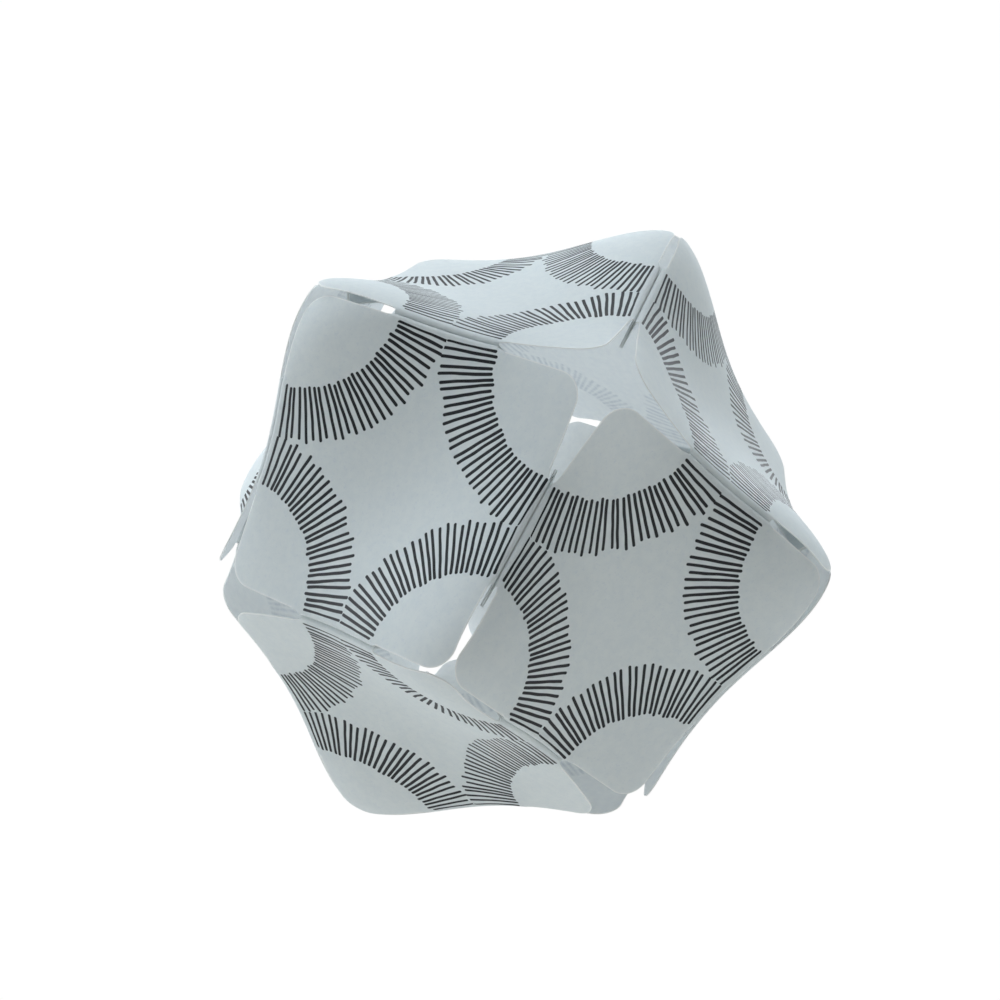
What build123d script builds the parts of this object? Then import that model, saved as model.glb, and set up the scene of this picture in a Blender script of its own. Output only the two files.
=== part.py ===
from build123d import *
import math
import os

# A ball made of twelve square card tiles with rounded corner lobes. Each tile faces one of the
# twelve edge directions of a cube. The middle of each side folds inwards as a tab, and the tabs
# of two neighbours are stuck back to back with a strip of double-sided tape. The lobes stay free,
# so the ball is open where three tiles meet (at the cube's corners) and where four tiles meet
# (over the cube's faces). Millimetres.

# Driving dimensions
ball_across = 143.5      # over the middles of two opposite tiles
card_thickness = 0.35
lobe_inset = 1.9         # lobe edges stand back this far from the line of the folds
lobe_radius = 7.5        # rounded corner of each lobe
seam_start = 30.3        # four-tile corner to the start of the fold, along the side
fold_length = 31.4
fold_radius = 0.6        # outside radius of the fold
tab_depth = 8.0          # fold to the tab's free edge
tab_flare = 5.5          # the free edge is longer than the fold by this much at each end
tab_corner = 1.5         # rounded corners of the tab's free edge
tape_thickness = 0.2
tape_length = 26.0
tape_width = 5.0
tape_clearance = 0.4     # tape stays back from the tab's free edge

# How the card is shaped, as shares of half the size across: how far from a tile's middle its sides
# would meet where three and where four tiles come together, and how it curves. It rises towards
# the three-tile lobes, eases off near their tips, is drawn in between by the folds, and droops a
# little at the four-tile lobes.
three_share = 0.8397
four_share = 0.8801
lobe_rise = 0.445
lobe_ease = 0.298
fold_pinch = 0.877
four_droop = 0.014

# Construction values
notch_length = 3.0       # slanted cut from the end of a fold out to the lobe's edge
seat = 0.02              # the fold's core is this much inside the card's faces where they join
core_run = 1.6           # the core reaches this far into the flat card on both sides of the fold
station_shares = (0.0, 0.25, 0.5, 0.75, 1.0)
solve_steps = 40
lobe_steps = 90

half_across = ball_across / 2
three_reach = three_share * half_across
four_reach = four_share * half_across
root2 = math.sqrt(2)


def card_height(x, y):
    """Height of the card's outer face over the tile's middle."""
    a = x / three_reach
    b = y / four_reach
    share = lobe_rise * a**2 - lobe_ease * a**4 - four_droop * b**4 - fold_pinch * a**2 * b**2
    return half_across * share


def card_slopes(x, y):
    a = x / three_reach
    b = y / four_reach
    along_x = 2 * lobe_rise * a - 4 * lobe_ease * a**3 - 2 * fold_pinch * a * b**2
    along_y = -4 * four_droop * b**3 - 2 * fold_pinch * a**2 * b
    return half_across * along_x / three_reach, half_across * along_y / four_reach


def card_face(half_x, half_y):
    """The outer face as one Bezier patch of degree four, which holds card_height exactly."""
    def power_weights(power, half):
        """The Bezier heights of t**power, where t runs from -half to half."""
        weights = []
        for i in range(5):
            total = 0.0
            for j in range(max(0, i - 4 + power), min(i, power) + 1):
                total += math.comb(power, j) * math.comb(4 - power, i - j) * (-1) ** (power - j)
            weights.append(total / math.comb(4, i) * half**power)
        return weights

    terms = (
        (lobe_rise, 2, 0),
        (-lobe_ease, 4, 0),
        (-four_droop, 0, 4),
        (-fold_pinch, 2, 2),
    )
    weights_x = {p: power_weights(p, half_x / three_reach) for p in (0, 1, 2, 4)}
    weights_y = {p: power_weights(p, half_y / four_reach) for p in (0, 1, 2, 4)}
    rows = []
    for i in range(5):
        row = []
        for j in range(5):
            height = sum(k * weights_x[p][i] * weights_y[q][j] for k, p, q in terms)
            x = three_reach * weights_x[1][i]
            y = four_reach * weights_y[1][j]
            row.append(Vector(x, y, half_across * (1 + height)))
        rows.append(row)
    return Face.make_bezier_surface(rows)


# The seam with one neighbour. The ball's centre is the origin here and the tile's middle is at
# (0, 0, half_across). The two tiles are mirror images in the plane root2*x + y = z, which holds
# the fold line and both tabs.
to_tile = Vector(-root2 / 2, -0.5, 0.5)
side_length = math.dist((three_reach, 0, root2 * three_reach), (0, four_reach, four_reach))


def fold_point(distance):
    """Point of the fold line, at a distance along the side from the four-tile corner."""
    y = four_reach * (1 - distance / side_length)
    x = three_reach * distance / side_length
    for _ in range(solve_steps):
        x = (half_across + card_height(x, y) - y) / root2
    return Vector(x, y, half_across + card_height(x, y))


fold_start = fold_point(seam_start)
fold_end = fold_point(seam_start + fold_length)
along = (fold_end - fold_start).normalized()
fold_middle = (fold_start + fold_end) * 0.5
inwards = to_tile.cross(along).normalized()
if inwards.dot(fold_middle) > 0:
    inwards = inwards * -1


def fold_station(distance):
    """Where the fold is at this distance: its point, the angle inside it, and the centre of its
    bend in the plane across the seam (inwards, to_tile)."""
    point = fold_point(distance)
    slope_x, slope_y = card_slopes(point.X, point.Y)
    card_normal = Vector(-slope_x, -slope_y, 1)
    across = card_normal.cross(along).normalized()
    if across.dot(to_tile) < 0:
        across = across * -1
    angle = math.atan2(across.dot(to_tile), across.dot(inwards))
    centre_y = tape_thickness / 2 + fold_radius
    centre_x = (fold_radius + centre_y * math.cos(angle)) / math.sin(angle)
    return point, angle, centre_x, centre_y


stations = [fold_station(seam_start + fold_length * share) for share in station_shares]


def fold_profile(point, angle, centre_x, centre_y):
    """Section through the folded card across the seam."""
    plane = Plane(origin=point, x_dir=inwards, z_dir=inwards.cross(to_tile))
    card = Vector(math.cos(angle), math.sin(angle))
    inside = Vector(math.sin(angle), -math.cos(angle))
    middle = Vector(math.cos(angle / 2), math.sin(angle / 2))
    centre = Vector(centre_x, centre_y)
    outer = fold_radius - seat
    inner = fold_radius - card_thickness + seat
    run = Vector(core_run, 0)
    outer_arc = [centre - inside * outer, centre - middle * outer, centre - Vector(0, outer)]
    inner_arc = [centre - Vector(0, inner), centre - middle * inner, centre - inside * inner]
    with BuildSketch(plane) as section:
        with BuildLine():
            Line(outer_arc[0] + card * core_run, outer_arc[0])
            ThreePointArc(*outer_arc)
            Line(outer_arc[2], outer_arc[2] + run)
            Line(outer_arc[2] + run, inner_arc[0] + run)
            Line(inner_arc[0] + run, inner_arc[0])
            ThreePointArc(*inner_arc)
            Line(inner_arc[2], inner_arc[2] + card * core_run)
            Line(inner_arc[2] + card * core_run, outer_arc[0] + card * core_run)
        make_face()
    return section.sketch.face()


def make_fold():
    return loft([fold_profile(*station) for station in stations])


# The tab and the tape lie in the seam's plane, drawn with x along the fold and y inwards.
seam_plane = Plane(origin=fold_middle, x_dir=along, z_dir=along.cross(inwards))
tab_side = 1 if seam_plane.z_dir.dot(to_tile) > 0 else -1
tab_top = max((s[0] - fold_middle).dot(inwards) + s[2] for s in stations) + seat


def make_tab():
    half_fold = (fold_end - fold_start).length / 2
    corners = [
        (-half_fold, tab_top),
        (half_fold, tab_top),
        (half_fold + tab_flare, tab_depth),
        (-half_fold - tab_flare, tab_depth),
    ]
    with BuildPart() as tab:
        with BuildSketch(seam_plane.offset(tab_side * tape_thickness / 2)):
            Polygon(*corners, align=None)
            free_corners = vertices().filter_by(
                lambda v: (v.center() - fold_middle).dot(inwards) > tab_depth - seat
            )
            fillet(free_corners, tab_corner)
        extrude(amount=tab_side * card_thickness)
    return tab.part


def make_tape():
    middle = tab_depth - tape_clearance - tape_width / 2
    strip = Box(tape_length, tape_width, tape_thickness)
    return seam_plane * Pos(0, middle, 0) * strip


def wall_point(station):
    """Where the flat card ends and the fold's bend begins, seen along the tile's normal."""
    point, angle, centre_x, centre_y = station
    reach = centre_x * math.cos(angle) + centre_y * math.sin(angle)
    across = inwards * math.cos(angle) + to_tile * math.sin(angle)
    start = point + across * reach
    return start.X, start.Y


def card_outline():
    """One quarter of the tile's outline, from the four-tile lobe round to the three-tile lobe."""
    scale = 1 - lobe_inset * math.hypot(three_reach, four_reach) / (three_reach * four_reach)
    three_tip = (three_reach * scale, 0)
    four_tip = (0, four_reach * scale)

    def on_lobe(distance):
        share = distance / side_length
        return three_tip[0] * share, four_tip[1] * (1 - share)

    walls = [wall_point(station) for station in stations]
    quarter = [four_tip, on_lobe(seam_start - notch_length)]
    quarter += walls
    quarter += [on_lobe(seam_start + fold_length + notch_length), three_tip]
    return quarter


def make_card():
    quarter = card_outline()
    right = quarter + [(x, -y) for x, y in reversed(quarter[:-1])]
    whole = right + [(-x, y) for x, y in reversed(right[1:-1])]
    tips = [Vector(*quarter[0]), Vector(*quarter[-1])]
    with BuildPart() as prism:
        with BuildSketch():
            Polygon(*whole, align=None)
            lobe_corners = vertices().filter_by(
                lambda v: min(abs(v.X), abs(v.Y)) < seat
            )
            fillet(lobe_corners, lobe_radius)
        extrude(amount=2 * ball_across)
    sheet = extrude(card_face(three_reach, four_reach), amount=card_thickness, dir=(0, 0, -1))
    return sheet & prism.part


def make_tile():
    """One tile with its four tabs, its outer face up, about the ball's centre."""
    corner = make_fold() + make_tab()
    side = corner + mirror(corner, about=Plane.YZ)
    return make_card() + side + mirror(side, about=Plane.XZ)


# The ball stands on the bottom tile, on both of its three-tile lobes and on one four-tile lobe, so
# that tile and the top one lean a little. The lean is where the lobes reach the floor together.
def lobe_edge(near, tip, far):
    """Plan points round a lobe: up its side, round its corner and down the other side."""
    back_near = (Vector(*near) - Vector(*tip)).normalized()
    back_far = (Vector(*far) - Vector(*tip)).normalized()
    half_corner = math.radians(back_near.get_angle(back_far)) / 2
    side = lobe_radius / math.tan(half_corner)
    middle = (back_near + back_far).normalized() * (lobe_radius / math.sin(half_corner))
    centre = Vector(*tip) + middle
    start = Vector(*tip) + back_near * side - centre
    end = Vector(*tip) + back_far * side - centre
    points = [Vector(*near), Vector(*far)]
    for step in range(lobe_steps + 1):
        share = step / lobe_steps
        points.append(centre + (start * (1 - share) + end * share).normalized() * lobe_radius)
        points.append(centre + start + (Vector(*near) - centre - start) * share)
    return points


def reach_at(points, lean):
    reaches = []
    for point in points:
        height = half_across + card_height(point.X, point.Y)
        reaches.append(point.Y * math.sin(lean) + height * math.cos(lean))
    return max(reaches)


def find_lean():
    quarter = card_outline()
    by_four = quarter[1]
    by_three = quarter[-2]
    four_edge = lobe_edge(by_four, quarter[0], (-by_four[0], by_four[1]))
    three_edge = lobe_edge(by_three, quarter[-1], (by_three[0], -by_three[1]))
    low, high = 0.0, math.pi / 4
    for _ in range(solve_steps):
        lean = (low + high) / 2
        if reach_at(four_edge, lean) < reach_at(three_edge, lean):
            low = lean
        else:
            high = lean
    return lean, reach_at(three_edge, lean)


lean, centre_height = find_lean()

# The cube's directions in the part's own frame, and each tile by the cube edge that it faces.
cube_y = Vector(0, math.sin(math.pi / 4 - lean), math.cos(math.pi / 4 - lean))
cube_z = Vector(0, -math.cos(math.pi / 4 - lean), math.sin(math.pi / 4 - lean))
tile_sides = {
    "tile_top": (0, 1, 1),
    "tile_front": (0, -1, 1),
    "tile_back": (0, 1, -1),
    "tile_bottom": (0, -1, -1),
    "tile_front_left": (-1, 0, 1),
    "tile_front_right": (1, 0, 1),
    "tile_back_left": (-1, 0, -1),
    "tile_back_right": (1, 0, -1),
    "tile_upper_left": (-1, 1, 0),
    "tile_upper_right": (1, 1, 0),
    "tile_lower_left": (-1, -1, 0),
    "tile_lower_right": (1, -1, 0),
}


def cube_direction(x, y, z):
    return Vector(x, 0, 0) + cube_y * y + cube_z * z


def tile_place(side):
    """The tile's own plane: x towards a three-tile corner, z outwards, at the ball's centre."""
    three_way = cube_direction(*(0 if s else 1 for s in side))
    return Plane(origin=(0, 0, centre_height), x_dir=three_way, z_dir=cube_direction(*side))


def tile_across(place, right, up):
    """Name of the neighbour across the seam on this side of a tile."""
    outwards = place.x_dir * (right * root2) + place.y_dir * up + place.z_dir
    for name, side in tile_sides.items():
        if cube_direction(*side).normalized().dot(outwards.normalized()) > 0.99:
            return name


os.makedirs("parts", exist_ok=True)
tile = make_tile()
tape = make_tape()
seams = set()
for name, side in tile_sides.items():
    place = tile_place(side)
    export_step(place * tile, f"parts/{name}.step")
    for right in (1, -1):
        for up in (1, -1):
            neighbour = tile_across(place, right, up)
            if (neighbour, name) in seams:
                continue
            seams.add((name, neighbour))
            strip = tape if right > 0 else mirror(tape, about=Plane.YZ)
            strip = strip if up > 0 else mirror(strip, about=Plane.XZ)
            strip_name = f"tape_{name[5:]}_to_{neighbour[5:]}"
            export_step(place * strip, f"parts/{strip_name}.step")
print(f"{len(tile_sides)} tiles, {len(seams)} seams")
print(f"lean {math.degrees(lean):.2f} degrees, centre {centre_height:.2f} mm over the floor")
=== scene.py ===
import math

import bpy
from mathutils import Matrix, Vector


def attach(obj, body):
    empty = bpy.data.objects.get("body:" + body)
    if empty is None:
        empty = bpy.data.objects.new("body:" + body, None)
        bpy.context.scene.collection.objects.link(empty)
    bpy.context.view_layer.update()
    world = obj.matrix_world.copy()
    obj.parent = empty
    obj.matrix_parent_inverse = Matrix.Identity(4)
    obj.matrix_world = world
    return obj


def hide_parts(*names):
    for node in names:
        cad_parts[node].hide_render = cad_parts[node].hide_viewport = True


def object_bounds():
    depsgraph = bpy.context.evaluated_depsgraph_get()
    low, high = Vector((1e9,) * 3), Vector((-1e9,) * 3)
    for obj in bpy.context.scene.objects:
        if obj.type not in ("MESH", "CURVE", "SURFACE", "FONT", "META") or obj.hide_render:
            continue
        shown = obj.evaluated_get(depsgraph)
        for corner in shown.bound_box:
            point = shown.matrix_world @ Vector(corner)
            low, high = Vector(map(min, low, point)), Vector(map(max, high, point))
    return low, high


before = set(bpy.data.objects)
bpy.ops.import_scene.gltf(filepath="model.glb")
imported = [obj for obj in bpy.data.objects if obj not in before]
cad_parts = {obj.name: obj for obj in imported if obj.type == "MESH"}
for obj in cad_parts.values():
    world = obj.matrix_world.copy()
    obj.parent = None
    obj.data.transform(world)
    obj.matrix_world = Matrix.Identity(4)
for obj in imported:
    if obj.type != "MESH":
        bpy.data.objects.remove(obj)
cadLow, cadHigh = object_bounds()
bpy.ops.object.select_all(action="DESELECT")
print("frame loaded:", len(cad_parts), "pieces")

mm = 0.001
root2 = math.sqrt(2)
quarterTurn = math.pi / 2

# The ball: twelve tiles, one for each edge of a cube. Lengths are in millimetres. In a tile's own
# frame x points along the cube's edge, to a corner where three tiles meet, y to a corner where
# four tiles meet, and z outwards.
ball = {
    "across": 143.5,
    "lean": 13.57,  # degrees, which sets three lobe tips on the floor
    "threeShare": 0.8397,  # a tile's reach along x, as a share of half the ball
    "fourShare": 0.8801,  # and along y
    "rise": 0.445,  # how the tile curves: up towards both ends of x,
    "ease": 0.298,  # less so near the ends,
    "pinch": 0.877,  # down towards its four sides
    "droop": 0.014,  # and a little down at both ends of y
}

# One card tile, as cut flat from a sheet and then folded.
card = {
    "side": 89.5,  # of the flat sheet, from seam to seam
    "inset": 1.8,  # how far inside its seams the card is cut and creased
    "cornerRadius": 7.5,
    "cornerCuts": 12,
    "cells": 46,
    "thickness": 0.35,
    "foldHalf": 15.7,  # half the length of a crease
    "foldShift": -0.95,  # how far the crease sits off the middle of its side
    "foldMiddle": 46.0,  # along the seam, from the four-tile corner
    "notch": 3.0,
    "foldRadius": 1.1,
    "foldRun": 2.2,  # the width of card that a fold takes up
    "flareRows": 3,
    "foldRows": 8,
    "tabDepth": 8.0,
    "tabFlare": 5.5,
    "tabRun": 7.0,
    "tabRows": 3,
    "tabCorner": 1.5,
    "tabCornerCuts": 3,
    "tabCornerReach": 1.2,  # points of the tab's free edge this near its ends are rounded
    "tapeGap": 0.2,
    "rim": 0.42,  # the roughened line along the cut edge
    "rimFade": 0.25,
    "rimEnd": 1.0,
    "smoothAngle": 35,
}

halfAcross = ball["across"] / 2
threeReach = ball["threeShare"] * halfAcross
fourReach = ball["fourShare"] * halfAcross
netHalf = card["side"] / 2 - card["inset"]
cornerCentre = netHalf - card["cornerRadius"]
foldReach = card["foldHalf"] + card["notch"]
bendRise = card["tapeGap"] / 2 + card["foldRadius"]
near = 0.1  # how close a point has to be to count as on a line
veryNear = 0.01
mergeReach = 0.00001  # in metres


def cardHeight(x, y):
    a = x / threeReach
    b = y / fourReach
    lifted = ball["rise"] * a**2 - ball["ease"] * a**4
    return halfAcross * (lifted - ball["droop"] * b**4 - ball["pinch"] * a**2 * b**2)


def cardSlopes(x, y):
    a = x / threeReach
    b = y / fourReach
    alongX = 2 * ball["rise"] * a - 4 * ball["ease"] * a**3 - 2 * ball["pinch"] * a * b**2
    alongY = -4 * ball["droop"] * b**3 - 2 * ball["pinch"] * a**2 * b
    return halfAcross * alongX / threeReach, halfAcross * alongY / fourReach


def bendSheet(u, v):
    # where a point of the flat sheet comes to lie once the sheet is curved
    steps = 9
    rounds = 8
    x, y = u, v
    for _ in range(rounds):
        stretchX = stretchY = 0.0
        for k in range(steps):
            t = (k + 0.5) / steps
            stretchX += math.hypot(1, cardSlopes(x * t, y)[0])
            stretchY += math.hypot(1, cardSlopes(x, y * t)[1])
        x = u * steps / stretchX
        y = v * steps / stretchY
    return Vector((x, y, halfAcross + cardHeight(x, y)))


# The seam with a neighbour lies in the plane root2 * x + y = z, and toTile points back from it.
toTile = Vector((-root2 / 2, -0.5, 0.5))
threeCorner = Vector((threeReach, 0, root2 * threeReach))
fourCorner = Vector((0, fourReach, fourReach))
seamLength = (threeCorner - fourCorner).length


def foldPoint(distance):
    # a point of the seam, at a distance from its four-tile corner
    rounds = 30
    x = threeReach * distance / seamLength
    y = fourReach * (1 - distance / seamLength)
    for _ in range(rounds):
        x = (halfAcross + cardHeight(x, y) - y) / root2
    return Vector((x, y, halfAcross + cardHeight(x, y)))


foldStart = foldPoint(card["foldMiddle"] - card["foldHalf"])
foldEnd = foldPoint(card["foldMiddle"] + card["foldHalf"])
foldMiddle = (foldStart + foldEnd) / 2
along = (foldEnd - foldStart).normalized()
inwards = toTile.cross(along).normalized()
if inwards.dot(foldMiddle) > 0:
    inwards = -inwards


def foldSection(distance):
    # the fold across the seam: its point, the angle inside it and how deep its bend starts
    point = foldPoint(distance)
    slopeX, slopeY = cardSlopes(point.x, point.y)
    across = Vector((-slopeX, -slopeY, 1)).cross(along).normalized()
    if across.dot(toTile) < 0:
        across = -across
    angle = math.atan2(across.dot(toTile), across.dot(inwards))
    reach = (card["foldRadius"] + bendRise * math.cos(angle)) / math.sin(angle)
    return point, angle, reach


def foldCard(p, q):
    # p runs out across the fold and q along it, both measured on the flat net
    flared = max(0.0, (p - netHalf - card["foldRun"]) / card["tabRun"])
    widened = 1 + flared * card["tabFlare"] / card["foldHalf"]
    distance = card["foldMiddle"] - (q - card["foldShift"]) / widened
    point, angle, reach = foldSection(distance)
    turn = min(1.0, (p - netHalf) / card["foldRun"])
    heading = angle - quarterTurn + turn * (math.pi - angle)
    inner = reach - card["foldRadius"] * math.cos(heading)
    outer = bendRise - card["foldRadius"] * math.sin(heading)
    place = point + inwards * inner + toTile * outer
    if flared > 0:
        depth = (place - foldMiddle).dot(inwards)
        place += inwards * (card["tabDepth"] - depth) * flared
        place += along * ((point - foldMiddle).dot(along)) * (widened - 1)
    return place


def foldedPlace(u, v):
    # where a point of the flat net lies on the finished tile, one quarter worked out for all four
    p = (abs(u) + abs(v)) / root2
    q = (abs(v) - abs(u)) / root2
    place = bendSheet(abs(u), abs(v))
    if p > netHalf - near:
        # the edge row moves onto the start of the fold, and back to the sheet along the notch
        onNotch = (foldReach - abs(q - card["foldShift"])) / card["notch"]
        share = 1.0 if p > netHalf + near else min(1.0, max(0.0, onNotch))
        place = place.lerp(foldCard(p, q), share)
    return Vector((math.copysign(place.x, u), math.copysign(place.y, v), place.z))


def cutNet(direction, distance, clear):
    bpy.ops.mesh.select_all(action="SELECT")
    bpy.ops.mesh.bisect(
        plane_co=direction * distance * mm,
        plane_no=direction,
        clear_outer=clear,
        threshold=mergeReach,
    )


def roundCorner(turned):
    middle = turned @ Vector((cornerCentre, cornerCentre, 0))
    for cut in range(card["cornerCuts"]):
        angle = quarterTurn * (cut + 0.5) / card["cornerCuts"]
        direction = turned @ Vector((math.cos(angle), math.sin(angle), 0))
        cutNet(direction, middle.dot(direction) + card["cornerRadius"], True)


def cutFoldEnds(turned):
    # rows of points across the whole net, where the folds of two sides end
    for end in (1, -1):
        direction = turned @ Vector((0, 1, 0))
        cutNet(direction, card["foldShift"] + end * foldReach, False)
        cutNet(-direction, card["foldShift"] + end * foldReach, False)


def pickSide(mesh, outwards, sideways, shift):
    # the edges in the middle of one side of the net
    bpy.ops.mesh.select_all(action="DESELECT")
    bpy.ops.object.mode_set(mode="OBJECT")
    for edge in mesh.edges:
        ends = [mesh.vertices[index].co / mm for index in edge.vertices]
        onSide = all(end.dot(outwards) > netHalf - veryNear for end in ends)
        inMiddle = all(abs(end.dot(sideways) - shift) < foldReach + near / 2 for end in ends)
        edge.select = onSide and inMiddle
    bpy.ops.object.mode_set(mode="EDIT")


def tabRows():
    # how far each new row of a fold and its tab runs out, and how much wider it is than the last
    rows = []
    width = foldReach
    for row in range(card["foldRows"]):
        left = max(0.0, 1 - (row + 1) / card["flareRows"])
        narrowed = card["foldHalf"] + card["notch"] * left**2
        rows.append((card["foldRun"] / card["foldRows"], narrowed / width))
        width = narrowed
    for row in range(card["tabRows"]):
        flared = card["foldHalf"] + card["tabFlare"] * (row + 1) / card["tabRows"]
        rows.append((card["tabRun"] / card["tabRows"], flared / width))
        width = flared
    return rows


def growTab(mesh, outwards):
    # the fold sits nearer the side's three-tile corner, where the net's x and y differ in sign
    sideways = Vector((abs(outwards.y), abs(outwards.x), 0))
    shift = card["foldShift"] * (outwards.x + outwards.y)
    middle = (outwards * netHalf + sideways * shift) * mm
    pickSide(mesh, outwards, sideways, shift)
    for step, widen in tabRows():
        bpy.ops.mesh.extrude_region()
        bpy.ops.transform.translate(value=outwards * step * mm)
        scale = Vector((1, 1, 1)) + sideways * (widen - 1)
        bpy.ops.transform.resize(value=scale, center_override=middle)


def makeNet():
    bpy.ops.mesh.primitive_grid_add(
        x_subdivisions=card["cells"], y_subdivisions=card["cells"], size=2 * netHalf * mm
    )
    net = bpy.context.object
    bpy.ops.object.mode_set(mode="EDIT")
    bpy.ops.mesh.select_mode(type="EDGE")
    for quarter in range(4):
        turned = Matrix.Rotation(quarter * quarterTurn, 3, "Z")
        roundCorner(turned)
        cutFoldEnds(turned)
    for side in ((1, 0, 0), (0, 1, 0), (-1, 0, 0), (0, -1, 0)):
        growTab(net.data, Vector(side))
    bpy.ops.mesh.select_all(action="SELECT")
    bpy.ops.mesh.remove_doubles(threshold=mergeReach)
    bpy.ops.object.mode_set(mode="OBJECT")
    return net


def roundTabs(net):
    freeEdge = netHalf + card["foldRun"] + card["tabRun"]
    freeHalf = card["foldHalf"] + card["tabFlare"]
    bpy.ops.object.mode_set(mode="EDIT")
    bpy.ops.mesh.select_mode(type="VERT")
    bpy.ops.mesh.select_all(action="DESELECT")
    bpy.ops.object.mode_set(mode="OBJECT")
    for vertex in net.data.vertices:
        x, y = abs(vertex.co.x / mm), abs(vertex.co.y / mm)
        onFreeEdge = max(x, y) > freeEdge - near
        vertex.select = onFreeEdge and min(x, y) > freeHalf - card["tabCornerReach"]
    bpy.ops.object.mode_set(mode="EDIT")
    bpy.ops.mesh.bevel(
        offset=card["tabCorner"] * mm, segments=card["tabCornerCuts"], affect="VERTICES"
    )
    bpy.ops.mesh.select_mode(type="EDGE")
    bpy.ops.object.mode_set(mode="OBJECT")


def foldNet(net):
    # the net's flat places stay with it as a UV map, in millimetres, with its corners on the axes
    flat = []
    for vertex in net.data.vertices:
        x, y = vertex.co.x / mm, vertex.co.y / mm
        flat.append(((x - y) / root2, (x + y) / root2))
    sheet = net.data.uv_layers[0]
    sheet.name = "sheet"
    for loop in net.data.loops:
        sheet.data[loop.index].uv = flat[loop.vertex_index]
    for vertex, (u, v) in zip(net.data.vertices, flat):
        vertex.co = foldedPlace(u, v) * mm


def useModifier(obj, kind, settings):
    modifier = obj.modifiers.new(kind.lower(), kind)
    for name, value in settings.items():
        setattr(modifier, name, value)
    bpy.context.view_layer.objects.active = obj
    bpy.ops.object.modifier_apply(modifier=modifier.name)


def makeTile(materials):
    # the materials are those of the outer side, the inner side and the cut edge
    net = makeNet()
    roundTabs(net)
    foldNet(net)
    for material in materials:
        net.data.materials.append(material)
    useModifier(
        net,
        "SOLIDIFY",
        {
            "thickness": card["thickness"] * mm,
            "offset": -1,
            "use_even_offset": True,
            "material_offset": 1,
            "material_offset_rim": 2,
        },
    )
    return net


class Wire:
    # a socket of a shader tree; arithmetic on it adds Math nodes
    def __init__(self, tree, socket=None):
        self.tree = tree
        self.socket = socket

    def add(self, kind, settings=None, inputs=None, out=0):
        node = self.tree.nodes.new(kind)
        for name, value in (settings or {}).items():
            setattr(node, name, value)
        for name, value in (inputs or {}).items():
            if isinstance(value, Wire):
                self.tree.links.new(value.socket, node.inputs[name])
            else:
                node.inputs[name].default_value = value
        return Wire(self.tree, node.outputs[out])

    def math(self, operation, *values, clamp=False):
        settings = {"operation": operation, "use_clamp": clamp}
        return self.add("ShaderNodeMath", settings, dict(enumerate(values)))

    def clamped(self):
        return self.math("MULTIPLY", self, 1.0, clamp=True)

    def __add__(self, other):
        return self.math("ADD", self, other)

    __radd__ = __add__

    def __sub__(self, other):
        return self.math("SUBTRACT", self, other)

    def __rsub__(self, other):
        return self.math("SUBTRACT", other, self)

    def __mul__(self, other):
        return self.math("MULTIPLY", self, other)

    __rmul__ = __mul__

    def __truediv__(self, other):
        return self.math("DIVIDE", self, other)

    def __abs__(self):
        return self.math("ABSOLUTE", self)

    def __gt__(self, other):
        return self.math("GREATER_THAN", self, other)

    def __lt__(self, other):
        return self.math("LESS_THAN", self, other)


# The print: a fan of pen strokes round each corner of the sheet, every stroke a little uneven.
ink = {
    "corner": 63.3,  # the fans' centres, from the middle of the sheet
    "strokes": 28,
    "fanAngle": 80.5,
    "innerRadius": 30.6,
    "outerRadius": 44.9,
    "nearSpread": 1.0,  # how much the two ends of the strokes vary
    "farSpread": 1.7,
    "tiltSpread": 0.3,  # as a share of the spacing
    "halfWidth": 0.47,
    "widthSpread": 0.1,
    "waver": 0.42,
    "waverScale": 0.13,
    "softness": 0.06,
    # how blurred the painted shadow of the print on the inner side is
    "printShadowSoftness": 0.45,
}

paper = {
    "pale": (0.655, 0.705, 0.695, 1),
    "shade": (0.55, 0.615, 0.635, 1),
    "speck": (0.47, 0.54, 0.62, 1),
    "inside": (0.70, 0.75, 0.76, 1),
    "insideShade": (0.60, 0.66, 0.70, 1),
    "through": (0.955, 0.965, 0.96, 1),
    "ink": (0.006, 0.007, 0.009, 1),
    # painted shadow of the print on the inner side, standing in for the ink blocking light
    # through the card
    "printShadow": (0.26, 0.34, 0.42, 1),
    "edge": (0.86, 0.86, 0.82, 1),
    "shadeShare": 0.5,  # how strongly each colour shows where its grain is full
    "speckShare": 0.45,
    "insideShadeShare": 0.7,
    "printShadowShare": 0.9,
    "edgeShare": 0.75,
    "cloudScale": 420,
    "cloudDetail": 4,
    "cloudFrom": 0.38,  # where the grain starts to show, and how fast it grows
    "cloudGain": 4,
    "speckFrom": 0.58,
    "speckGain": 7,
    "fibreScale": 1100,
    "edgeFibreScale": 900,
    "fibreDetail": 2,
    "grainRoughness": 0.6,
    "roughness": 0.9,
    "inkRoughness": 0.6,
    "bumpDepth": 0.05,
    "bumpStrength": 0.35,
    "specular": 0.25,
    "seeThrough": 0.42,  # the share of light that passes into the card
    "inkSeeThrough": 0.015,
    "edgeSeeThrough": 0.5,
}

tape = {
    "pale": (0.72, 0.72, 0.66, 1),
    "shade": (0.60, 0.60, 0.55, 1),
    "grainScale": 400,
    "roughness": 0.45,
    "bumpDepth": 0.02,
    "seeThrough": 0.3,
}


def newMaterial(name):
    material = bpy.data.materials.new(name)
    material.use_nodes = True
    tree = material.node_tree
    tree.nodes.clear()
    return material, Wire(tree)


def endMaterial(start, shader):
    output = start.tree.nodes.new("ShaderNodeOutputMaterial")
    start.tree.links.new(shader.socket, output.inputs["Surface"])


def mixColours(start, factor, first, second):
    inputs = {"Factor": factor, "A": first, "B": second}
    return start.add("ShaderNodeMix", {"data_type": "RGBA"}, inputs, 2)


def flatPlace(start, mapName):
    place = start.add("ShaderNodeUVMap", {"uv_map": mapName})
    u = start.add("ShaderNodeSeparateXYZ", None, {0: place}, 0)
    v = start.add("ShaderNodeSeparateXYZ", None, {0: place}, 1)
    return u, v


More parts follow.
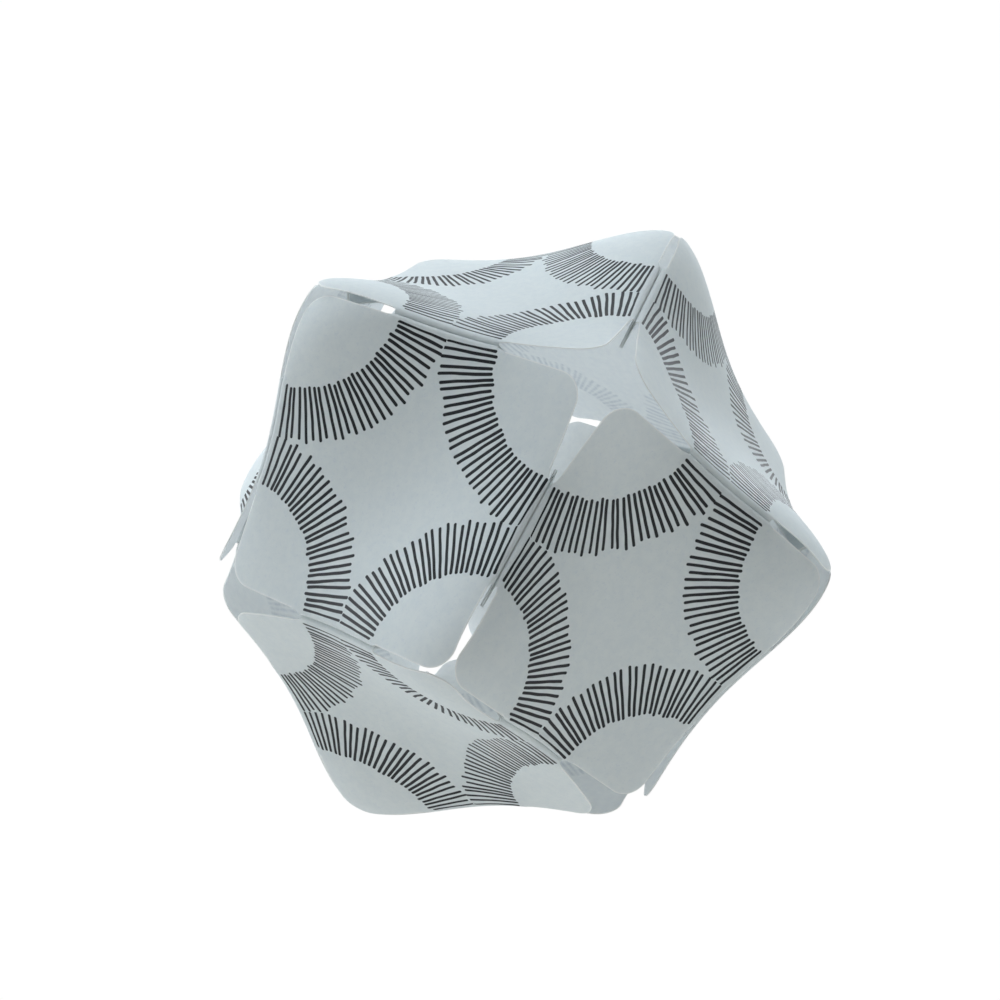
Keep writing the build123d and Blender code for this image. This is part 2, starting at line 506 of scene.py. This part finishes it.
def edgeLine(start):
    # the rim of the card, except along the folds
    u, v = flatPlace(start, "sheet")
    across = start.math("MAXIMUM", abs(u + v) / root2 - cornerCentre, 0.0)
    sideways = start.math("MAXIMUM", abs(u - v) / root2 - cornerCentre, 0.0)
    reach = start.math("SQRT", across * across + sideways * sideways)
    offMiddle = start.math("MINIMUM", abs(u + v), abs(u - v)) / root2
    onFold = offMiddle < foldReach - card["rimEnd"]
    onRim = ((reach - card["cornerRadius"] + card["rim"]) / card["rimFade"]).clamped()
    return onRim * (1 - onFold)


def inkMask(start, softness):
    u, v = flatPlace(start, "print")
    byThree = abs(u) > abs(v)
    reach = start.math("MAXIMUM", abs(u), abs(v))
    sideways = byThree * v + (1 - byThree) * u
    fan = byThree * (u > 0) + (1 - byThree) * (2 + (v > 0))

    # polar places round the corner of the sheet, and which stroke is nearest
    inwardRun = ink["corner"] - reach
    radius = start.math("SQRT", inwardRun * inwardRun + sideways * sideways)
    angle = start.math("ARCTAN2", sideways, inwardRun) * (180 / math.pi)
    spacing = ink["fanAngle"] / (ink["strokes"] - 1)
    index = start.math("FLOOR", angle / spacing + ink["strokes"] / 2)

    # chances of its own for each stroke, and a slow waver along it; the bare numbers only keep
    # the strokes and fans from sharing them
    seed = start.add("ShaderNodeCombineXYZ", None, {0: index, 1: fan * 7.0 + 3.0})
    chance = start.add("ShaderNodeTexWhiteNoise", {"noise_dimensions": "2D"}, {"Vector": seed}, 1)
    tilt, nearEnd, farEnd = (
        start.add("ShaderNodeSeparateColor", None, {0: chance}, channel) - 0.5
        for channel in range(3)
    )
    waverPlace = start.add(
        "ShaderNodeCombineXYZ", None, {0: radius * ink["waverScale"], 1: index * 3.7 + fan * 31.0}
    )
    waver = start.add(
        "ShaderNodeTexNoise",
        {"noise_dimensions": "2D"},
        {"Vector": waverPlace, "Scale": 1.0, "Detail": 1.0},
    )
    waver = waver - 0.5

    strokeAngle = (index - (ink["strokes"] - 1) / 2 + tilt * ink["tiltSpread"]) * spacing
    lateral = abs(radius * (angle - strokeAngle) * (math.pi / 180) + waver * ink["waver"])
    before = (ink["innerRadius"] + nearEnd * ink["nearSpread"]) - radius
    beyond = radius - (ink["outerRadius"] + farEnd * ink["farSpread"])
    overrun = start.math("MAXIMUM", start.math("MAXIMUM", before, beyond), 0.0)
    away = start.math("SQRT", lateral * lateral + overrun * overrun)
    width = ink["halfWidth"] + waver * ink["widthSpread"]
    inFan = (index > -0.5) * (index < ink["strokes"] - 0.5)
    return ((width + softness - away) / (2 * softness)).clamped() * inFan


def paperGrain(start, scale, detail):
    place = start.add("ShaderNodeTexCoord", None, None, 3)
    inputs = {
        "Vector": place,
        "Scale": scale,
        "Detail": detail,
        "Roughness": paper["grainRoughness"],
    }
    return start.add("ShaderNodeTexNoise", None, inputs)


def paperClouds(start):
    cloud = paperGrain(start, paper["cloudScale"], paper["cloudDetail"])
    return ((cloud - paper["cloudFrom"]) * paper["cloudGain"]).clamped()


def finishPaper(start, colour, roughness, bumpFrom, bumpDepth, seeThrough):
    bump = start.add(
        "ShaderNodeBump",
        None,
        {"Strength": paper["bumpStrength"], "Distance": bumpDepth * mm, "Height": bumpFrom},
    )
    surface = start.add(
        "ShaderNodeBsdfPrincipled",
        None,
        {
            "Base Color": colour,
            "Roughness": roughness,
            "Normal": bump,
            "Specular IOR Level": paper["specular"],
        },
    )
    glow = start.add("ShaderNodeBsdfTranslucent", None, {"Color": paper["through"]})
    endMaterial(
        start, start.add("ShaderNodeMixShader", None, {0: seeThrough, 1: surface, 2: glow})
    )


def printedCard():
    material, start = newMaterial("printedCard")
    cloudy = paperClouds(start)
    fibre = paperGrain(start, paper["fibreScale"], paper["fibreDetail"])
    specks = ((fibre - paper["speckFrom"]) * paper["speckGain"]).clamped()
    colour = mixColours(start, cloudy * paper["shadeShare"], paper["pale"], paper["shade"])
    colour = mixColours(start, specks * paper["speckShare"], colour, paper["speck"])
    colour = mixColours(start, edgeLine(start) * paper["edgeShare"], colour, paper["edge"])
    # the ink lies on the outer side only: light from inside the card doesn't meet it
    fromInside = start.add("ShaderNodeNewGeometry", None, None, 6)
    mask = inkMask(start, ink["softness"]) * (1 - fromInside)
    colour = mixColours(start, mask, colour, paper["ink"])
    roughness = paper["roughness"] - mask * (paper["roughness"] - paper["inkRoughness"])
    seeThrough = paper["seeThrough"] - mask * (paper["seeThrough"] - paper["inkSeeThrough"])
    finishPaper(start, colour, roughness, fibre, paper["bumpDepth"], seeThrough)
    return material


def insideCard():
    # painted shadow: the print's shadow, where the ink holds back light passing through the card,
    # is painted on the inner side as a soft darker print, stronger where the card is cloudy
    material, start = newMaterial("insideCard")
    cloudy = paperClouds(start)
    fibre = paperGrain(start, paper["fibreScale"], paper["fibreDetail"])
    shaded = cloudy * paper["insideShadeShare"]
    colour = mixColours(start, shaded, paper["inside"], paper["insideShade"])
    # painted shade: a blurred copy of the ink, as its shadow seen through the card
    mask = inkMask(start, ink["printShadowSoftness"]) * (0.5 + cloudy * 0.5)
    colour = mixColours(start, mask * paper["printShadowShare"], colour, paper["printShadow"])
    finishPaper(
        start, colour, paper["roughness"], fibre, paper["bumpDepth"], paper["seeThrough"]
    )
    return material


def cutEdge():
    material, start = newMaterial("cutEdge")
    fibre = paperGrain(start, paper["edgeFibreScale"], paper["fibreDetail"])
    colour = mixColours(start, fibre, paper["edge"], paper["pale"])
    finishPaper(
        start, colour, paper["roughness"], fibre, paper["bumpDepth"], paper["edgeSeeThrough"]
    )
    return material


def tapeStrip():
    material, start = newMaterial("tapeStrip")
    cloud = paperGrain(start, tape["grainScale"], paper["fibreDetail"])
    colour = mixColours(start, cloud, tape["pale"], tape["shade"])
    finishPaper(start, colour, tape["roughness"], cloud, tape["bumpDepth"], tape["seeThrough"])
    return material


# Each tile lies on the cube's edge between the two faces that its numbers name.
tileSides = {
    "tile_top": (0, 1, 1),
    "tile_front": (0, -1, 1),
    "tile_back": (0, 1, -1),
    "tile_bottom": (0, -1, -1),
    "tile_front_left": (-1, 0, 1),
    "tile_front_right": (1, 0, 1),
    "tile_back_left": (-1, 0, -1),
    "tile_back_right": (1, 0, -1),
    "tile_upper_left": (-1, 1, 0),
    "tile_upper_right": (1, 1, 0),
    "tile_lower_left": (-1, -1, 0),
    "tile_lower_right": (1, -1, 0),
}

# How far each lobe of a hand-folded tile is bent out of true, in the order +x, -x, +y, -y. The
# bend grows between two places on the way from the tile's middle to a lobe's tip.
noBend = (0, 0, 0, 0)
lobeBends = {
    "tile_front_left": (-2.2, 0, -1.5, 0),
    "tile_front": (-2.4, 0, 0, 0),
    "tile_top": (0, 0.8, 0, 0),
}
bendFrom = 41.9
bendTo = 59.0

# How far the print sits off the middle of its card.
noShift = (0, 0)
printShifts = {
    "tile_front_left": (-0.6, -0.7),
    "tile_front": (-0.9, 0.1),
    "tile_top": (0.4, 0.5),
    "tile_lower_left": (0.3, -0.4),
}


def bendLobes(mesh, bends):
    rises = {}
    for loop, onSheet in zip(mesh.loops, mesh.uv_layers["sheet"].data):
        u, v = onSheet.uv
        if abs(u) > abs(v):
            bend = bends[0] if u > 0 else bends[1]
        else:
            bend = bends[2] if v > 0 else bends[3]
        onTab = (abs(u) + abs(v)) / root2 > netHalf + near
        run = max(0.0, max(abs(u), abs(v)) - bendFrom) / (bendTo - bendFrom)
        rises[loop.vertex_index] = 0.0 if onTab else bend * run**2
    for index, rise in rises.items():
        mesh.vertices[index].co.z += rise * mm


def shiftPrint(mesh, shift):
    onPrint = mesh.uv_layers.new(name="print")
    for loop, onSheet in zip(onPrint.data, mesh.uv_layers["sheet"].data):
        loop.uv = onSheet.uv - Vector(shift)


centre = (cadLow + cadHigh) / 2
tip = math.pi / 4 - math.radians(ball["lean"])
cubeFrame = Matrix(
    ((1, 0, 0), (0, math.sin(tip), -math.cos(tip)), (0, math.cos(tip), math.sin(tip)))
)


def tilePlace(side):
    outwards = (cubeFrame @ Vector(side)).normalized()
    threeWay = cubeFrame @ Vector([0 if s else 1 for s in side])
    fourWay = outwards.cross(threeWay)
    turned = Matrix((threeWay, fourWay, outwards)).transposed()
    return Matrix.Translation(centre) @ turned.to_4x4()


tile = makeTile([printedCard(), insideCard(), cutEdge()])
print("tile modelled:", len(tile.data.polygons), "faces")

for node, side in tileSides.items():
    piece = tile.copy()
    piece.data = tile.data.copy()
    piece.name = "printed_" + node
    piece.data.name = piece.name
    bpy.context.scene.collection.objects.link(piece)
    bendLobes(piece.data, lobeBends.get(node, noBend))
    shiftPrint(piece.data, printShifts.get(node, noShift))
    piece.data.transform(tilePlace(side))
    bpy.ops.object.select_all(action="DESELECT")
    piece.select_set(True)
    bpy.context.view_layer.objects.active = piece
    bpy.ops.object.shade_smooth_by_angle(angle=math.radians(card["smoothAngle"]))
    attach(piece, "root")
    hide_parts(node)
bpy.data.objects.remove(tile)
print("tiles placed")

tapeMaterial = tapeStrip()
for name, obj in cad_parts.items():
    if name.startswith("tape_"):
        obj.data.materials.clear()
        obj.data.materials.append(tapeMaterial)
print("tape finished")

# Floor, backdrop and light, in metres and watts.
studio = {
    "floorGlow": 1.01,
    "floorSize": (6, 6),
    "floorDrop": 0.0005,
    "backdropSize": (6, 3),
    "backdropAway": 3.0,
    "worldColour": (0.95, 1.0, 1.03, 1),
    "worldGlow": 0.05,
    "lightColour": (0.96, 1.0, 1.06),
}
# Each light's place from the middle of the ball, its size and its power.
softLights = {
    "topLight": ((0.1, 0.0, 1.1), 0.8, 12.1),
    "backRightLight": ((0.9, 0.6, 0.4), 0.7, 11.2),
    "backLeftLight": ((-0.9, 0.6, 0.4), 0.7, 11.0),
}


def glowMaterial(name, strength):
    material, start = newMaterial(name)
    inputs = {"Color": (1, 1, 1, 1), "Strength": strength}
    endMaterial(start, start.add("ShaderNodeEmission", None, inputs))
    return material


def stagePlane(name, size, location, rotation):
    bpy.ops.object.select_all(action="DESELECT")
    bpy.ops.mesh.primitive_plane_add(size=1, location=location, rotation=rotation)
    plane = bpy.context.object
    plane.name = name
    plane.scale = (size[0], size[1], 1)
    bpy.ops.object.transform_apply(location=True, rotation=True, scale=True)
    plane.data.materials.append(glowMaterial(name, studio["floorGlow"]))


floorLevel = -studio["floorDrop"]
backdropMiddle = studio["backdropSize"][1] / 2 + floorLevel
stagePlane("floor", studio["floorSize"], (0, 0, floorLevel), (0, 0, 0))
stagePlane(
    "backdrop",
    studio["backdropSize"],
    (0, studio["backdropAway"], backdropMiddle),
    (quarterTurn, 0, 0),
)

world = bpy.data.worlds.new("room")
bpy.context.scene.world = world
world.use_nodes = True
background = world.node_tree.nodes["Background"]
background.inputs["Color"].default_value = studio["worldColour"]
background.inputs["Strength"].default_value = studio["worldGlow"]


def softBox(name, offset, size, power):
    light = bpy.data.lights.new(name, "AREA")
    light.shape = "SQUARE"
    light.size = size
    light.energy = power
    light.color = studio["lightColour"]
    lamp = bpy.data.objects.new(name, light)
    bpy.context.scene.collection.objects.link(lamp)
    lamp.location = centre + Vector(offset)
    lamp.rotation_mode = "QUATERNION"
    lamp.rotation_quaternion = (-Vector(offset)).to_track_quat("-Z", "Y")


for name, (offset, size, power) in softLights.items():
    softBox(name, offset, size, power)
print("studio lit:", len(softLights), "lights")

# The camera: its place from the middle of the ball in millimetres, and how it is held.
lens = {
    "place": (-211.97, -510.82, 93.19),
    "right": (0.90796, -0.39381, -0.14325),
    "up": (0.19087, 0.08431, 0.97799),
    "focal": 65.95,
    "sensor": 36,
    "clipStart": 0.01,
}
cameraData = bpy.data.cameras.new("camera")
camera = bpy.data.objects.new("camera", cameraData)
bpy.context.scene.collection.objects.link(camera)
cameraData.lens = lens["focal"]
cameraData.sensor_width = lens["sensor"]
cameraData.clip_start = lens["clipStart"]
right = Vector(lens["right"]).normalized()
up = Vector(lens["up"]).normalized()
aim = Matrix((right, up, right.cross(up))).transposed()
camera.matrix_world = Matrix.Translation(centre + Vector(lens["place"]) * mm) @ aim.to_4x4()
bpy.context.scene.camera = camera
bpy.context.scene.view_settings.view_transform = "Standard"
